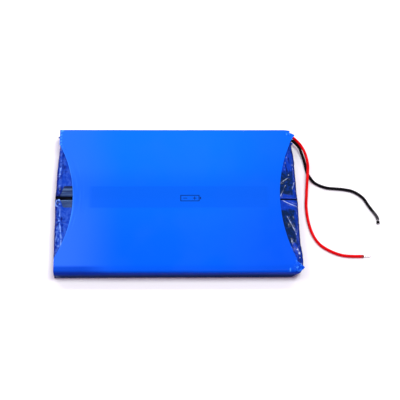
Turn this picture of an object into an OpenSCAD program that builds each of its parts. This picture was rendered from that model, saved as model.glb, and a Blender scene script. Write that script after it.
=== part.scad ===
// Flat two-cell lithium pouch battery pack in a shrink sleeve, with two flying leads.
// Frame: origin under the middle of the pack on the surface it lies on, +Z up,
// +X towards the end the leads leave, +Y towards the edge they leave beside. Millimetres.

/* [Pack] */
// Length of the shrink sleeve along X
pack_length = 131.5; // [130:0.5:140]
// Width of the pack along Y
pack_width = 89.1; // [89:0.1:92]
// Thickness of the pack along Z
pack_height = 8.6; // [8.6:0.1:9]
// Radius of the long edges of the sleeve
edge_radius = 1.3; // [1:0.1:1.3]
// Thickness of the shrink film
sleeve_film = 0.15; // [0.1:0.01:0.25]

/* [End openings] */
// Depth of the arc cut in the sleeve at the plain end
left_arc_depth = 8.6; // [6:0.1:10]
// Radius of that arc
left_arc_radius = 78; // [60:1:120]
// Depth of the arc cut in the sleeve at the lead end
right_arc_depth = 9.6; // [6:0.1:10]
// Radius of that arc
right_arc_radius = 95; // [80:1:140]
// Thickness of the end films under the sleeve
end_film = 0.1; // [0.05:0.01:0.1]

/* [Cells] */
// Width of one cell with its side seals folded up
cell_width = 43.1; // [42:0.1:43.2]
// Length of the cell body without its terrace
cell_body = 117.5; // [110:0.5:117.5]
// Length of the sealed terrace the tabs come out of
terrace = 7.5; // [6:0.5:7.5]
// Thickness of one cell
cell_height = 8.0; // [8:0.1:8]
// Thickness of the aluminium laminate
laminate = 0.15; // [0.12:0.01:0.15]
// Height of the folded-up side seals
seal_wing = 5.7; // [3:0.1:6]
// Gap between the two cells
cell_gap = 1.9; // [1.9:0.1:2.4]
// Number of cathode sheets in each cell
cathode_count = 11; // [5:1:11]

/* [Tabs and board] */
// Width of the cell tabs
tab_width = 6; // [4:0.5:6]
// Thickness of the cell tabs
tab_thick = 0.1; // [0.1:0.05:0.1]
// Distance of each tab from the middle of its cell
tab_offset = 9; // [8:0.5:10]
// Length of the protection board along Y
board_length = 71; // [71:1:74]
// Width of the protection board along X
board_width = 6.6; // [6.4:0.1:6.6]
// Thickness of the protection board
board_thick = 0.8; // [0.6:0.1:0.8]

/* [Leads] */
// Outer diameter of the lead insulation
lead_diameter = 1.6; // [1.4:0.1:1.6]
// Diameter of the tinned conductor
conductor_diameter = 0.8; // [0.6:0.1:0.8]
// Stripped length at the end of the red lead
red_strip = 4; // [3:0.5:8]
// Stripped length at the end of the black lead
black_strip = 2.6; // [2:0.1:5]
// Length of the insulation slug left on the end of the black lead
slug_length = 1.5; // [1:0.1:1.7]

/* [Hidden] */

$fn = 64;
cut = 1;                    // how far a cutting solid runs past the face it cuts

half_length = pack_length / 2;
half_width = pack_width / 2;

// Cells: the plain end stands just inside the sleeve, the terrace faces the leads.
cell_bottom = 0.3;
cell_top = cell_bottom + cell_height;
cell_left = -half_length + 0.75;
cell_right = cell_left + cell_body;
terrace_right = cell_right + terrace;
cell_y = (cell_gap + cell_width) / 2;
cover_top = cell_bottom + laminate;
wing_gap = 0.05;            // between the folded cup seal and the folded cover seal
cup_gap = 0.25;             // between the cup wall and the folded cup seal
cup_width = cell_width - 2 * (2 * laminate + wing_gap + cup_gap);
cup_edge_radius = 1.5;
flange_width = cell_width - 2 * (laminate + wing_gap);
fold_radius = 0.5;          // outside radius where the side seals turn up

// Tabs and their sealant strips
tab_bottom = cover_top + 0.1;
sealant_height = 0.3;
sealant_width = tab_width + 3;
sealant_right = terrace_right + 0.8;
sealant_left = cell_right - laminate;
tab_inner_end = cell_right - 2.2;
bend_radius = 0.75;         // inside radius of the tab's fold over the terrace
bend_x = terrace_right + 0.9;
bend_z = tab_bottom + tab_thick + bend_radius;
tab_return_end = 56.5;

// Electrode stack
sheet = 0.28;               // thickness of one electrode sheet
separator_film = 0.04;
layer_pitch = sheet + separator_film;
anode_count = cathode_count + 1;
stack_bottom = cover_top + 0.24;
stack_height = (2 * cathode_count + 1) * layer_pitch - separator_film;
separator_half = 20.2;
cathode_half = 19.8;
anode_half = 20;
stack_left = cell_left + 0.7;
stack_right = cell_right - 2.4;
tail_length = 1.6;
tape_band = 12;
tape_film = 0.05;

// Protection board: lies over the terraces, with metal strips folded round its edge.
weld_z = bend_z + bend_radius + tab_thick;
strip = 0.1;
board_bottom = weld_z + strip;
board_top = board_bottom + board_thick;
board_left = 54;
board_right = board_left + board_width;
pad_copper = 0.05;
pad_top = board_top + pad_copper;
strip_outer = board_right + 0.15;
strip_leg = 1.35;           // how far a strip reaches in over the top of the board
link_half = cell_y - tab_offset + tab_width / 2;
mid_leg = 4;                // width of the link's leg to the middle pad
positive_y = cell_y + tab_offset;
negative_y = -cell_y - tab_offset;

// End films and foam
film_left = -48;
film_right = 50.5;
rear_film_y = 7.7;
front_film_y = -5.6;
film_edge_y = half_width - 1.1;
lead_notch_y = 39.6;
pad_left = cell_right + 0.7;
pad_right = 63;
pad_bottom = 5;
pad_ceiling = cell_top - 0.2;
gap_foam_left = cell_left - 0.6;    // squeezed out past the plain end

// Lead routes, from the solder joint on the board to the end of the insulation.
// The red lead passes over the black one 23 mm outside the pack.
lead_radius = lead_diameter / 2;
red_route = [
    [56, 27, 4], [56, 32, 4], [56.5, 36.5, 4], [58.5, 40.5, 4],
    [62, 43, 4.2], [65.7, 42.6, 4.5], [68.5, 39.8, 4.7], [70.6, 36.9, 4.5],
    [72.3, 33.5, 4], [73.5, 29, 3.5], [74, 24, 3], [73.5, 19, 2.6],
    [73, 14.5, 2.1], [72.5, 10, 1.5], [72, 5, 1], [71.5, 0, 0.8],
    [71.5, -5.5, 0.8], [72, -11, 0.8], [73, -16, 0.8], [74.5, -20.5, 0.8],
    [77, -24.5, 0.8], [80.5, -27.5, 0.8], [85, -30, 0.8], [89.5, -31.5, 0.8],
    [94.5, -32, 0.8], [100.5, -32, 0.8],
];
black_route = [
    [58.5, 27, 4], [58.5, 32, 4], [59, 36, 4], [61, 39.5, 4],
    [64, 41, 3.8], [66.1, 40.7, 3.5], [67.9, 39.2, 3], [69.9, 36.7, 2.5],
    [71.1, 33.5, 1.8], [72.2, 29.5, 1.2], [72.9, 25, 0.9], [73.5, 21, 0.8],
    [75, 17.5, 0.8], [77, 14.5, 0.8], [80, 12.5, 0.8], [84, 11, 0.8],
    [88.5, 10.5, 0.8], [93, 10, 0.8], [97.5, 9, 0.8], [101, 7, 0.8],
    [104, 4, 0.8], [106, 0, 0.8], [108, -3.5, 0.8], [109.8, -6.5, 0.8],
    [110.6, -8.5, 0.8], [110.6, -9.5, 0.8],
];
red_end = red_route[len(red_route) - 1];
black_end = black_route[len(black_route) - 1];
slug_start = black_strip - slug_length - 0.2;
solder_length = 2;

// ---- shared shapes ----

// A box given by its lowest and highest corner.
module block(low, high) {
    translate(low) cube(high - low);
}

// A YZ outline pushed along X from x0 to x1.
module along_x(x0, x1) {
    translate([x0, 0, 0]) rotate([90, 0, 90]) linear_extrude(x1 - x0) children();
}

// Rectangle with four round corners: width w about Y = 0, from z0 to z1.
module rounded_outline(w, z0, z1, r) {
    translate([-w / 2 + r, z0]) square([w - 2 * r, z1 - z0]);
    translate([-w / 2, z0 + r]) square([w, z1 - z0 - 2 * r]);
    for (y = [-w / 2 + r, w / 2 - r], z = [z0 + r, z1 - r])
        translate([y, z]) circle(r);
}

// Rectangle with round upper corners only.
module cup_outline(w, z0, z1, r) {
    translate([-w / 2, z0]) square([w, z1 - r - z0]);
    translate([-w / 2 + r, z1 - 2 * r]) square([w - 2 * r, 2 * r]);
    for (y = [-w / 2 + r, w / 2 - r])
        translate([y, z1 - r]) circle(r);
}

// Sheet of thickness t lying from z0 up, turned up at both sides to height h.
module tray_outline(w, z0, h, t, r) {
    difference() {
        mirror([0, 1]) cup_outline(w, -z0 - h, -z0, r);
        mirror([0, 1]) cup_outline(w - 2 * t, -z0 - h - cut, -z0 - t, r - t);
    }
}

// A film folded round one end of the pack: top, end face and bottom in one piece.
module end_wrap(x_in, x_out, y0, y1) {
    side = x_out > x_in ? 1 : -1;
    x_wall = x_out - side * end_film;
    xs = side > 0 ? [x_in, x_wall, x_out] : [x_out, x_wall, x_in];
    wall = side > 0 ? [xs[1], xs[2]] : [xs[0], xs[1]];
    block([xs[0], y0, cell_top], [xs[2], y1, cell_top + end_film]);
    block([xs[0], y0, cell_bottom - end_film], [xs[2], y1, cell_bottom]);
    block([wall[0], y0, cell_bottom - end_film], [wall[1], y1, cell_top + end_film]);
}

// ---- outside of the pack ----

module shrink_sleeve() {
    color([0.07, 0.42, 0.98])
    difference() {
        along_x(-half_length, half_length)
            rounded_outline(pack_width, 0, pack_height, edge_radius);
        along_x(-half_length - cut, half_length + cut)
            rounded_outline(pack_width - 2 * sleeve_film, sleeve_film,
                            pack_height - sleeve_film, edge_radius - sleeve_film);
        translate([-half_length + left_arc_depth - left_arc_radius, -0.5, -cut])
            cylinder(r = left_arc_radius, h = pack_height + 2 * cut);
        translate([half_length - right_arc_depth + right_arc_radius, -2, -cut])
            cylinder(r = right_arc_radius, h = pack_height + 2 * cut);
    }
}

module rear_left_end_film() {
    color([0.22, 0.38, 0.82])
    end_wrap(film_left, cell_left - end_film, rear_film_y, film_edge_y);
}

module front_left_end_film() {
    color([0.22, 0.38, 0.82])
    end_wrap(film_left, cell_left - end_film, -film_edge_y, front_film_y);
}

module right_end_film() {
    color([0.09, 0.2, 0.52])
    difference() {
        end_wrap(film_right, half_length - 0.85, -film_edge_y, film_edge_y);
        block([half_length - 1.5, lead_notch_y, 1.5],
              [half_length, half_width, 6.5]);
    }
}

module cell_joining_tape() {
    color([0.1, 0.32, 0.8])
    block([film_left + 0.2, front_film_y - 0.1, cell_top],
          [film_right - 0.2, rear_film_y, cell_top + end_film]);
}

module gap_foam_strip() {
    color([0.06, 0.06, 0.08])
    block([gap_foam_left, -cell_gap / 2 + 0.05, 0.6],
          [cell_right - 0.5, cell_gap / 2 - 0.05, cell_top - 0.9]);
}

// ---- one cell, drawn about Y = 0 ----

module rear_cell() {
    translate([0, cell_y, 0]) children();
}

module front_cell() {
    translate([0, -cell_y, 0]) children();
}

module at_tabs() {
    for (y = [-tab_offset, tab_offset])
        translate([0, y, 0]) children();
}

module pouch_cup() {
    color([0.72, 0.73, 0.76])
    difference() {
        union() {
            along_x(cell_left, cell_right) {
                cup_outline(cup_width, cover_top, cell_top, cup_edge_radius);
                tray_outline(flange_width, cover_top, seal_wing, laminate,
                             fold_radius - laminate);
            }
            block([cell_right - laminate, -cup_width / 2, cover_top],
                  [terrace_right, cup_width / 2, cover_top + laminate]);
            at_tabs()
                block([cell_right - laminate, -sealant_width / 2 - laminate, cover_top],
                      [terrace_right, sealant_width / 2 + laminate,
                       cover_top + sealant_height + laminate]);
        }
        along_x(cell_left + laminate, cell_right - laminate)
            cup_outline(cup_width - 2 * laminate, cover_top - cut, cell_top - laminate,
                        cup_edge_radius - laminate);
        at_tabs()
            block([cell_right - cut, -sealant_width / 2, cover_top - cut],
                  [sealant_right, sealant_width / 2, cover_top + sealant_height]);
    }
}

module pouch_cover() {
    color([0.76, 0.77, 0.8])
    union() {
        along_x(cell_left, cell_right)
            tray_outline(cell_width, cell_bottom, seal_wing + laminate, laminate,
                         fold_radius);
        block([cell_right - cut, -cup_width / 2, cell_bottom],
              [terrace_right, cup_width / 2, cover_top]);
    }
}

// Sheet number i of the stack, counted from the bottom, with its current tail.
module electrode(i, half, tail_y) {
    z0 = stack_bottom + i * layer_pitch;
    block([stack_left, -half, z0], [stack_right, half, z0 + sheet]);
    block([stack_right - cut, tail_y - tab_width / 2, z0],
          [stack_right + tail_length, tail_y + tab_width / 2, z0 + sheet]);
}

module cathode_sheets() {
    color([0.16, 0.16, 0.18])
    for (i = [0 : cathode_count - 1])
        electrode(2 * i + 1, cathode_half, tab_offset);
}

module anode_sheets() {
    color([0.45, 0.26, 0.14])
    for (i = [0 : anode_count - 1])
        electrode(2 * i, anode_half, -tab_offset);
}

// One ribbon folded to and fro between the sheets.
module separator() {
    runs = 2 * cathode_count;
    color([0.93, 0.93, 0.9])
    along_x(stack_left - 0.3, stack_right + 0.3)
    for (i = [0 : runs - 1]) {
        z0 = stack_bottom + sheet + i * layer_pitch;
        link_y = i % 2 == 0 ? separator_half : -separator_half - separator_film;
        translate([-separator_half - separator_film, z0])
            square([2 * (separator_half + separator_film), separator_film]);
        if (i < runs - 1)
            translate([link_y, z0])
                square([separator_film, layer_pitch + separator_film]);
    }
}

// Two bands of tape that hold the stack together.
module stack_tapes() {
    inner = separator_half + separator_film + 0.06;
    low = stack_bottom - 0.02;
    high = stack_bottom + stack_height + 0.02;
    color([0.2, 0.55, 0.35])
    for (x = [-51, 24])
        difference() {
            block([x, -inner - tape_film, low - tape_film],
                  [x + tape_band, inner + tape_film, high + tape_film]);
            block([x - cut, -inner, low], [x + tape_band + cut, inner, high]);
        }
}

// Tab outline in XZ: out through the seal, round the fold and back under the board.
module tab_outline() {
    outer = bend_radius + tab_thick;
    translate([tab_inner_end, tab_bottom])
        square([bend_x - tab_inner_end, tab_thick]);
    translate([tab_return_end, weld_z - tab_thick])
        square([bend_x - tab_return_end, tab_thick]);
    difference() {
        translate([bend_x, bend_z]) circle(outer);
        translate([bend_x, bend_z]) circle(bend_radius);
        translate([bend_x - 2 * outer, bend_z - 2 * outer])
            square([2 * outer, 4 * outer]);
    }
}

module tab(y) {
    translate([0, y + tab_width / 2, 0])
    rotate([90, 0, 0]) linear_extrude(tab_width) tab_outline();
}

module positive_tab() {
    color([0.8, 0.81, 0.83]) tab(tab_offset);
}

module negative_tab() {
    color([0.7, 0.68, 0.62]) tab(-tab_offset);
}

module tab_sealants() {
    color([0.88, 0.88, 0.82])
    at_tabs()
    difference() {
        block([sealant_left, -sealant_width / 2, cover_top],
              [sealant_right, sealant_width / 2, cover_top + sealant_height]);
        block([sealant_left - cut, -tab_width / 2, tab_bottom],
              [sealant_right + cut, tab_width / 2, tab_bottom + tab_thick]);
    }
}

// ---- protection board ----

module protection_board() {
    color([0.05, 0.35, 0.18])
    block([board_left, -board_length / 2, board_bottom],
          [board_right, board_length / 2, board_top]);
}

// Copper lands for the two outer strips, the middle leg and the two leads.
module board_pads() {
    color([0.8, 0.5, 0.25]) {
        for (land = [[positive_y, 5.6], [negative_y, 5.6], [0, 3.6]])
            block([board_right - 1.4, land[0] - land[1] / 2, board_top],
                  [board_right - 0.1, land[0] + land[1] / 2, pad_top]);
        for (route = [red_route, black_route])
            block([route[0][0] - 0.9, 24.4, board_top],
                  [route[0][0] + 0.9, 28.6, pad_top]);
    }
}

// A moulded chip with legs on both sides, centred at [x, y].
module chip(x, y, body_size, pitch, legs, reach) {
    leg_w = 0.3;
    leg_t = 0.15;
    body_lift = 0.1;
    translate([x, y, board_top]) {
        block([-body_size[0] / 2, -body_size[1] / 2, body_lift],
              [body_size[0] / 2, body_size[1] / 2, body_lift + body_size[2]]);
        for (i = [0 : legs - 1], side = [-1, 1]) {
            leg_x = (i - (legs - 1) / 2) * pitch;
            knee = side * (body_size[1] / 2 + 0.3);
            foot = side * reach;
            block([leg_x - leg_w / 2, min(knee, foot), 0],
                  [leg_x + leg_w / 2, max(knee, foot), leg_t]);
            block([leg_x - leg_w / 2, min(0, knee), body_size[2] / 2],
                  [leg_x + leg_w / 2, max(0, knee), body_size[2] / 2 + leg_t]);
            block([leg_x - leg_w / 2, knee - leg_t / 2, 0],
                  [leg_x + leg_w / 2, knee + leg_t / 2, body_size[2] / 2 + leg_t]);
        }
    }
}

module mosfets() {
    color([0.12, 0.12, 0.13])
    for (y = [8, 17])
        chip(56.8, y, [3, 4.4, 1], 0.65, 4, 3.2);
}

module protection_ic() {
    color([0.12, 0.12, 0.13])
    chip(56.8, -10, [2.9, 1.6, 1.1], 0.95, 3, 1.4);
}

// Rows of small two-ended chips.
module chip_row(size, places) {
    for (y = places)
        block([56.8 - size[0] / 2, y - size[1] / 2, board_top],
              [56.8 + size[0] / 2, y + size[1] / 2, board_top + size[2]]);
}

module chip_resistors() {
    color([0.15, 0.15, 0.17])
    chip_row([1.6, 0.8, 0.45], [-15, -17, -19, 2]);
}

module chip_capacitors() {
    color([0.62, 0.5, 0.38])
    chip_row([1.6, 0.8, 0.8], [-22, -24, -4]);
}

// Strip outline in XZ: welded leg under the board, edge, and soldered leg on top.
module strip_outline() {
    translate([tab_return_end + 0.5, weld_z])
        square([strip_outer - tab_return_end - 0.5, strip]);
    edge_leg_outline();
}

module edge_leg_outline() {
    translate([strip_outer - strip, weld_z])
        square([strip, pad_top + strip - weld_z]);
    translate([strip_outer - strip_leg, pad_top])
        square([strip_leg, strip]);
}

module strip_solid(y, w) {
    translate([0, y + w / 2, 0])
    rotate([90, 0, 0]) linear_extrude(w) children();
}

module positive_strip() {
    color([0.75, 0.73, 0.68]) strip_solid(positive_y, tab_width) strip_outline();
}

module negative_strip() {
    color([0.75, 0.73, 0.68]) strip_solid(negative_y, tab_width) strip_outline();
}

// Joins the front cell's positive tab to the rear cell's negative tab.
module series_link_strip() {
    color([0.75, 0.73, 0.68])
    union() {
        block([tab_return_end + 0.5, -link_half, weld_z],
              [strip_outer, link_half, weld_z + strip]);
        strip_solid(0, mid_leg) edge_leg_outline();
    }
}

module insulation_paper() {
    color([0.82, 0.84, 0.72])
    block([cell_right + 0.3, -half_width + 3.5, 1.75],
          [terrace_right, half_width - 3.5, 1.95]);
}

module foam_pads() {
    color([0.08, 0.09, 0.12]) {
        block([pad_left, 2.2, pad_bottom], [pad_right, 28.2, pad_ceiling]);
        block([pad_left, -31, pad_bottom], [pad_right, -6.2, pad_ceiling]);
    }
}

module solder_joints() {
    color([0.78, 0.79, 0.8])
    for (route = [red_route, black_route])
        difference() {
            translate([route[0][0], route[0][1] - solder_length, route[0][2] - 0.15])
                rotate([-90, 0, 0]) cylinder(r = 0.75, h = solder_length);
            block([route[0][0] - cut, route[0][1] - solder_length - cut, 0],
                  [route[0][0] + cut, route[0][1] + cut, pad_top]);
        }
}

module lead_hold_tape() {
    color([0.72, 0.5, 0.12])
    block([board_left + 0.4, 29.4, 4.8], [board_right - 0.2, 33.4, 4.86]);
}

// ---- leads ----

function unit(v) = v / norm(v);

// Direction of the route at point i: from the point before to the point after.
function heading(route, i) =
    unit(route[min(i + 1, len(route) - 1)] - route[max(i - 1, 0)]);

// Eight points round the route at point i, with a flat side down.
function ring(route, i, r) =
    let (t = heading(route, i), side = unit(cross(t, [0, 0, 1])), up = cross(side, t))
    [for (k = [0 : 7]) route[i] + r * (cos(22.5 + 45 * k) * side + sin(22.5 + 45 * k) * up)];

module tube(route, r) {
    n = len(route);
    points = [for (i = [0 : n - 1]) each ring(route, i, r)];
    sides = [for (i = [0 : n - 2], k = [0 : 7])
        [8 * i + k, 8 * i + (k + 1) % 8, 8 * i + 8 + (k + 1) % 8, 8 * i + 8 + k]];
    polyhedron(points, concat([[for (k = [7 : -1 : 0]) k]], sides,
                              [[for (k = [0 : 7]) 8 * (n - 1) + k]]));
}

module red_lead() {
    color([0.86, 0.06, 0.1]) tube(red_route, lead_radius);
}

module black_lead() {
    color([0.03, 0.03, 0.04]) tube(black_route, lead_radius);
}

module red_lead_tip() {
    color([0.8, 0.8, 0.8])
    translate(red_end) rotate([0, 90, 0])
        cylinder(d = conductor_diameter, h = red_strip);
}

module black_lead_tip() {
    color([0.8, 0.8, 0.8])
    translate(black_end) rotate([90, 0, 0])
        cylinder(d = conductor_diameter, h = black_strip);
}

// Piece of insulation left on the end so that the bare conductor can't touch anything.
module black_lead_slug() {
    color([0.03, 0.03, 0.04])
    translate([0, -slug_start, 0]) translate(black_end) rotate([90, 0, 0])
    difference() {
        cylinder(d = lead_diameter, h = slug_length);
        translate([0, 0, -cut])
            cylinder(d = conductor_diameter + 0.1, h = slug_length + 2 * cut);
    }
}

shrink_sleeve();
rear_left_end_film();
front_left_end_film();
right_end_film();
cell_joining_tape();
gap_foam_strip();
rear_cell() pouch_cup();  // rear_pouch_cup
rear_cell() pouch_cover();  // rear_pouch_cover
rear_cell() cathode_sheets();  // rear_cathode_sheets
rear_cell() anode_sheets();  // rear_anode_sheets
rear_cell() separator();  // rear_separator
rear_cell() stack_tapes();  // rear_stack_tapes
rear_cell() positive_tab();  // rear_positive_tab
rear_cell() negative_tab();  // rear_negative_tab
rear_cell() tab_sealants();  // rear_tab_sealants
front_cell() pouch_cup();  // front_pouch_cup
front_cell() pouch_cover();  // front_pouch_cover
front_cell() cathode_sheets();  // front_cathode_sheets
front_cell() anode_sheets();  // front_anode_sheets
front_cell() separator();  // front_separator
front_cell() stack_tapes();  // front_stack_tapes
front_cell() positive_tab();  // front_positive_tab
front_cell() negative_tab();  // front_negative_tab
front_cell() tab_sealants();  // front_tab_sealants
protection_board();
board_pads();
mosfets();
protection_ic();
chip_resistors();
chip_capacitors();
positive_strip();
negative_strip();
series_link_strip();
insulation_paper();
foam_pads();
solder_joints();
lead_hold_tape();
red_lead();
black_lead();
red_lead_tip();
black_lead_tip();
black_lead_slug();
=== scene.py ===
"""Looks of the two-cell pouch battery pack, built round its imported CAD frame.

Shapes are worked out in millimetres in the CAD frame and scaled to metres when a mesh is made.
"""

import math

import bpy
from mathutils import Matrix, Vector, noise


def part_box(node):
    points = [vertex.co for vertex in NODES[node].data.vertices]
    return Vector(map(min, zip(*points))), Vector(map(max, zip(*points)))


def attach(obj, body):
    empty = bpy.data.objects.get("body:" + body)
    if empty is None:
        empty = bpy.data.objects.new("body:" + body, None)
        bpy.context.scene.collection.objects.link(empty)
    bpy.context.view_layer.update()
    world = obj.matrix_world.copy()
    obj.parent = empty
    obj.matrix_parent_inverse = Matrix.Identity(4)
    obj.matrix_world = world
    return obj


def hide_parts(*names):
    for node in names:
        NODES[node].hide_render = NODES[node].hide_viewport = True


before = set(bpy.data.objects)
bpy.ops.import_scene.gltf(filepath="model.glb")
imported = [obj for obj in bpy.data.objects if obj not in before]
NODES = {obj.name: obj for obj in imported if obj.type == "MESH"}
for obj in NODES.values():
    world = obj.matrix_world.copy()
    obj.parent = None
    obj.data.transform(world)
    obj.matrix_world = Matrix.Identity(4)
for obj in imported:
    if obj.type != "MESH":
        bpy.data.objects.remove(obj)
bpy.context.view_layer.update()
MM = 0.001


def node_box(name):
    """Lowest and highest corner of a CAD node, in millimetres."""
    low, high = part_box(name)
    return low / MM, high / MM


HALF_LENGTH, HALF_WIDTH, HEIGHT = node_box("shrink_sleeve")[1]


def new_object(name, data):
    made = bpy.data.objects.new(name, data)
    bpy.context.scene.collection.objects.link(made)
    return made


# ---- camera ----

CAMERA_ELEVATION = 60.0
CAMERA_AZIMUTH = -4.885
CAMERA_ROLL = 4.115
CAMERA_DISTANCE = 0.596846
CAMERA_TARGET = Vector((0.012609, 0.003819, 0.0))
CAMERA_SENSOR = 36.0
CAMERA_LENS = 96.67


def make_camera():
    elevation, azimuth = math.radians(CAMERA_ELEVATION), math.radians(CAMERA_AZIMUTH)
    roll = math.radians(CAMERA_ROLL)
    back = Vector((math.sin(azimuth) * math.cos(elevation),
                   -math.cos(azimuth) * math.cos(elevation),
                   math.sin(elevation)))
    level = Vector((math.cos(azimuth), math.sin(azimuth), 0))
    upright = back.cross(level)
    right = math.cos(roll) * level + math.sin(roll) * upright
    up = -math.sin(roll) * level + math.cos(roll) * upright
    data = bpy.data.cameras.new("camera")
    data.sensor_width = CAMERA_SENSOR
    data.lens = CAMERA_LENS
    data.clip_start, data.clip_end = 0.01, 20
    camera = new_object("camera", data)
    turn = Matrix((right, up, back)).transposed()
    camera.matrix_world = Matrix.Translation(CAMERA_TARGET + back * CAMERA_DISTANCE) @ turn.to_4x4()
    bpy.context.scene.camera = camera


make_camera()


# ---- small mathematics ----

def step(value, start, end):
    """Smooth step from 0 at start to 1 at end."""
    t = max(0.0, min(1.0, (value - start) / (end - start)))
    return t * t * (3 - 2 * t)


def band(value, low, high, soft):
    """1 between low and high, 0 outside, with edges that are soft wide."""
    half = soft / 2
    return step(value, low - half, low + half) * (1 - step(value, high - half, high + half))


def hump(value, centre, width):
    """A round hill of height 1 at centre."""
    return math.exp(-((value - centre) / width) ** 2)


def ripple(x, y, across, along, seed):
    """Smooth noise from -1 to 1 with features across mm wide in X and along mm wide in Y."""
    return noise.noise(Vector((x / across, y / along, seed)))


def crinkle(x, y, across, along, seed):
    """Noise with sharp ridges, from about -0.5 to 0.5."""
    bent = 0.6 * ripple(x, y, across * 1.7, along * 1.7, seed + 9.1)
    return 0.5 - abs(ripple(x + bent * across, y + bent * along, across, along, seed)) * 2.2


def spread(*spans):
    """Numbers along several joined spans, each (start, end, steps)."""
    values = [spans[0][0]]
    for start, end, steps in spans:
        values += [start + (end - start) * (i + 1) / steps for i in range(steps)]
    return values


def smooth_line(points, per_span):
    """Catmull-Rom line through points, per_span steps to a span."""
    ends = [2 * points[0] - points[1], *points, 2 * points[-1] - points[-2]]
    line = []
    for i in range(1, len(ends) - 2):
        a, b, c, d = ends[i - 1:i + 3]
        for k in range(per_span):
            t = k / per_span
            line.append(0.5 * (2 * b + (c - a) * t + (2 * a - 5 * b + 4 * c - d) * t ** 2
                               + (3 * b - a - 3 * c + d) * t ** 3))
    return line + [points[-1]]


# ---- node trees ----

def add(tree, kind, links=(), **settings):
    """A shader node with settings, its inputs given as (socket, value or other node's output)."""
    made = tree.nodes.new(kind)
    for key, value in settings.items():
        setattr(made, key, value)
    for key, value in links:
        if isinstance(value, bpy.types.NodeSocket):
            tree.links.new(value, made.inputs[key])
        else:
            made.inputs[key].default_value = value
    return made


def calc(tree, operation, a, b=0.0, c=0.0):
    return add(tree, "ShaderNodeMath", [(0, a), (1, b), (2, c)], operation=operation).outputs[0]


def scaled(tree, value, factor, base):
    """value times factor, plus base."""
    return calc(tree, "MULTIPLY_ADD", value, factor, base)


def product(tree, first, *others):
    for other in others:
        first = calc(tree, "MULTIPLY", first, other)
    return first


def blend(tree, factor, a, b):
    """Colour a where factor is 0, b where it is 1."""
    a, b = [(*colour, 1) if isinstance(colour, tuple) else colour for colour in (a, b)]
    return add(tree, "ShaderNodeMix", [(0, factor), (6, a), (7, b)], data_type="RGBA").outputs[2]


def tinted(tree, colour, *tints):
    """A colour under others, each given as its shares, which multiply, and then itself."""
    for *shares, tint in tints:
        colour = blend(tree, product(tree, *shares), colour, tint)
    return colour


def ramp(tree, value, start, end):
    """Smooth 0 to 1 as value goes from start to end."""
    made = add(tree, "ShaderNodeMapRange",
               [("Value", value), ("From Min", start), ("From Max", end)],
               interpolation_type="SMOOTHSTEP")
    return made.outputs[0]


def zone(tree, value, low, high, soft):
    """1 where value is between low and high."""
    rise = ramp(tree, value, low - soft / 2, low + soft / 2)
    fall = ramp(tree, value, high + soft / 2, high - soft / 2)
    return product(tree, rise, fall)


def place(tree, scale=(1, 1, 1)):
    """Object coordinates in millimetres, as a vector and as X, Y and Z."""
    coordinates = add(tree, "ShaderNodeTexCoord")
    sized = add(tree, "ShaderNodeMapping", [("Vector", coordinates.outputs["Object"]),
                                            ("Scale", [s / MM for s in scale])])
    parts = add(tree, "ShaderNodeSeparateXYZ", [(0, sized.outputs[0])])
    return sized.outputs[0], parts.outputs


def grain(tree, vector, size, detail=3.0, bent=0.0):
    """Noise with features of about size millimetres, 0 to 1."""
    made = add(tree, "ShaderNodeTexNoise",
               [("Vector", vector), ("Scale", 1 / size), ("Detail", detail), ("Distortion", bent)])
    return made.outputs[0]


def surface(name, finish):
    """A material whose tree and Principled shader finish(tree, shader) sets up."""
    material = bpy.data.materials.new(name)
    material.use_nodes = True
    finish(material.node_tree, material.node_tree.nodes["Principled BSDF"])
    return material


def paint(tree, shader, colour):
    tree.links.new(colour, shader.inputs["Base Color"])


def dent(tree, shader, height, distance):
    """Bump from a 0 to 1 height that stands for distance millimetres."""
    made = add(tree, "ShaderNodeBump",
               [("Height", height), ("Distance", distance * MM), ("Strength", 1.0)])
    tree.links.new(made.outputs[0], shader.inputs["Normal"])


def set_gloss(shader, roughness, specular=0.5, metallic=0.0):
    shader.inputs["Roughness"].default_value = roughness
    shader.inputs["Specular IOR Level"].default_value = specular
    shader.inputs["Metallic"].default_value = metallic


def plain(colour, other, size, roughness, metallic=0.0, stretch=(1, 1, 1), relief=0.02):
    """A finish that varies between two colours in grains of size millimetres."""
    def finish(tree, shader):
        vector, _ = place(tree, stretch)
        mottle = ramp(tree, grain(tree, vector, size), 0.3, 0.7)
        paint(tree, shader, blend(tree, mottle, colour, other))
        set_gloss(shader, roughness, metallic=metallic)
        uneven = scaled(tree, grain(tree, vector, size * 2.5), 0.2, roughness - 0.1)
        tree.links.new(uneven, shader.inputs["Roughness"])
        dent(tree, shader, grain(tree, vector, size / 2), relief)
    return finish


def paint_crease_light(tree, colour, pale, dark):
    """Paints light by the mesh's own creases: a painted highlight on their ridges, painted shade in
    their grooves.
    """
    marks = add(tree, "ShaderNodeAttribute", attribute_name="crease").outputs["Fac"]
    return tinted(tree, colour, (ramp(tree, marks, 0.0, -1.0), dark),
                  (ramp(tree, marks, 0.0, 1.0), pale))


# ---- materials of what shows ----

SLEEVE_REAR = (0.0038, 0.152, 0.86)
SLEEVE_FRONT_SHADE = (0.0014, 0.104, 0.80)
SLEEVE_SHEEN_AND_MOTTLE = (0.030, 0.150, 0.88)
SLEEVE_RIGHT_SHADE = (0.0020, 0.082, 0.76)
SLEEVE_CORNER_SHADE = (0.0015, 0.068, 0.66)
SLEEVE_STRIP = (0.0030, 0.095, 0.64)
SLEEVE_SIDE_SHADE_HIGH = (0.0004, 0.030, 0.40)
SLEEVE_SIDE_SHADE_LOW = (0.0004, 0.015, 0.085)
SLEEVE_EDGE_SHADE = (0.001, 0.052, 0.52)
SLEEVE_PAINTED_HIGHLIGHT = (0.070, 0.36, 1.0)
SLEEVE_PAINTED_SHADE = (0.0008, 0.045, 0.42)
INK_NAVY = (0.004, 0.014, 0.075)

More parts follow.
